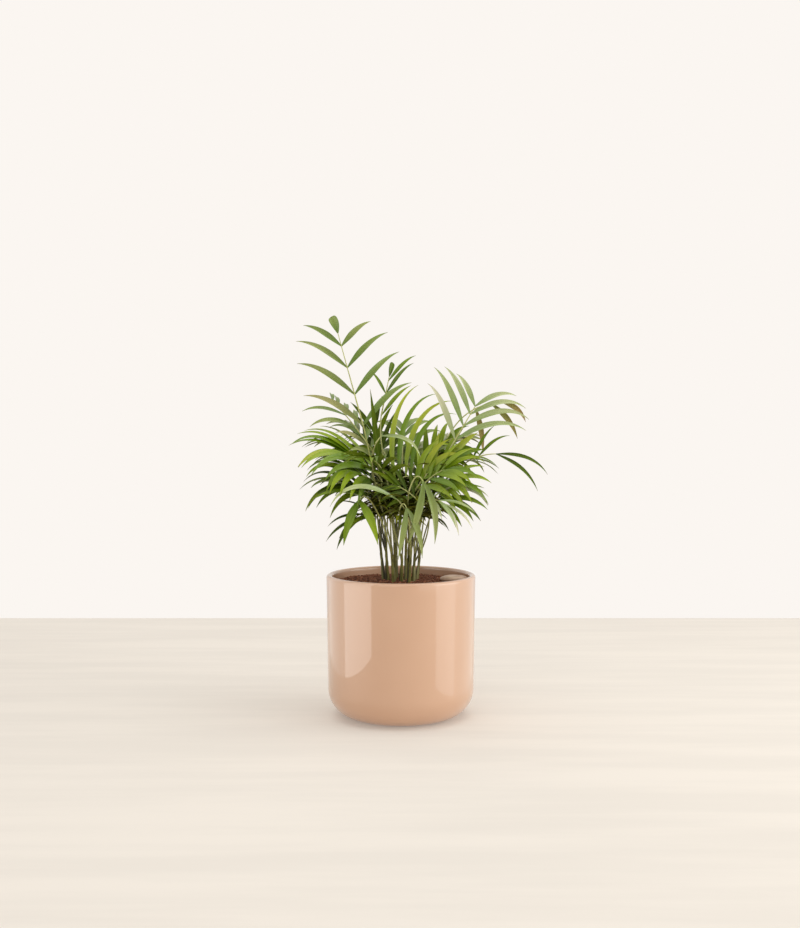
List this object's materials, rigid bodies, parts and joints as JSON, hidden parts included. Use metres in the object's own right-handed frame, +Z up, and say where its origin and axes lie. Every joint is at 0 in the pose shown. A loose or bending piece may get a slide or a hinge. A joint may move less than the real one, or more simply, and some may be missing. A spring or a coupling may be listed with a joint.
{
  "type": "potted parlour palm",
  "caption": "Low clump of slim palm canes with arching feather fronds, growing in a round glazed pot of soil.",
  "frame": {"origin": "middle of the pot's flat underside, on the surface that it stands on", "axes": "+Z up; -Y is the front, as the picture shows it; +X is the plant's right-hand side seen from there"},
  "size_m": [0.2624, 0.1893, 0.403],
  "materials": {
    "frond_brown": "satin leaf",
    "frond_deep": "satin leaf",
    "frond_fresh": "satin leaf",
    "frond_mid": "satin leaf",
    "frond_olive": "satin leaf",
    "frond_pale": "satin leaf",
    "pebble": "smooth, satin",
    "pot": "glossy glaze",
    "soil": "matte, granular",
    "stem": "satin"
  },
  "bodies": {
    "root": {"frond_back_lower_1": "frond_olive", "frond_back_lower_2": "frond_mid", "frond_back_lower_3": "frond_deep", "frond_back_lower_4": "frond_mid", "frond_back_lower_5": "frond_mid", "frond_back_middle_1": "frond_mid", "frond_back_middle_2": "frond_olive", "frond_back_middle_3": "frond_olive", "frond_back_middle_4": "frond_deep", "frond_back_middle_5": "frond_deep", "frond_back_middle_6": "frond_mid", "frond_back_upper_1": "frond_olive", "frond_back_upper_2": "frond_olive", "frond_back_upper_3": "frond_olive", "frond_back_upper_4": "frond_deep", "frond_back_upper_5": "frond_olive", "frond_centre_blade": "frond_deep", "frond_centre_dark": "frond_deep", "frond_centre_fan": "frond_deep", "frond_centre_pale": "frond_pale", "frond_centre_up": "frond_fresh", "frond_far_right": "frond_mid", "frond_front_left": "frond_mid", "frond_front_low": "frond_olive", "frond_front_nod": "frond_olive", "frond_front_right": "frond_pale", "frond_front_straps": "frond_fresh", "frond_front_sweep": "frond_pale", "frond_left_arch": "frond_mid", "frond_left_fan": "frond_fresh", "frond_left_high": "frond_olive", "frond_left_low": "frond_deep", "frond_low_left": "frond_deep", "frond_middle_left": "frond_mid", "frond_middle_right": "frond_fresh", "frond_right_arch": "frond_mid", "frond_right_brown": "frond_brown", "frond_right_fan": "frond_fresh", "frond_right_low": "frond_mid", "frond_right_olive": "frond_fresh", "frond_right_pale": "frond_pale", "frond_tall_back": "frond_mid", "frond_tall_left": "frond_olive", "pebble": "pebble", "pot": "pot", "soil": "soil", "stem_1": "stem", "stem_10": "stem", "stem_11": "stem", "stem_2": "stem", "stem_3": "stem", "stem_4": "stem", "stem_5": "stem", "stem_6": "stem", "stem_7": "stem", "stem_8": "stem", "stem_9": "stem"}
  },
  "joints": []
}
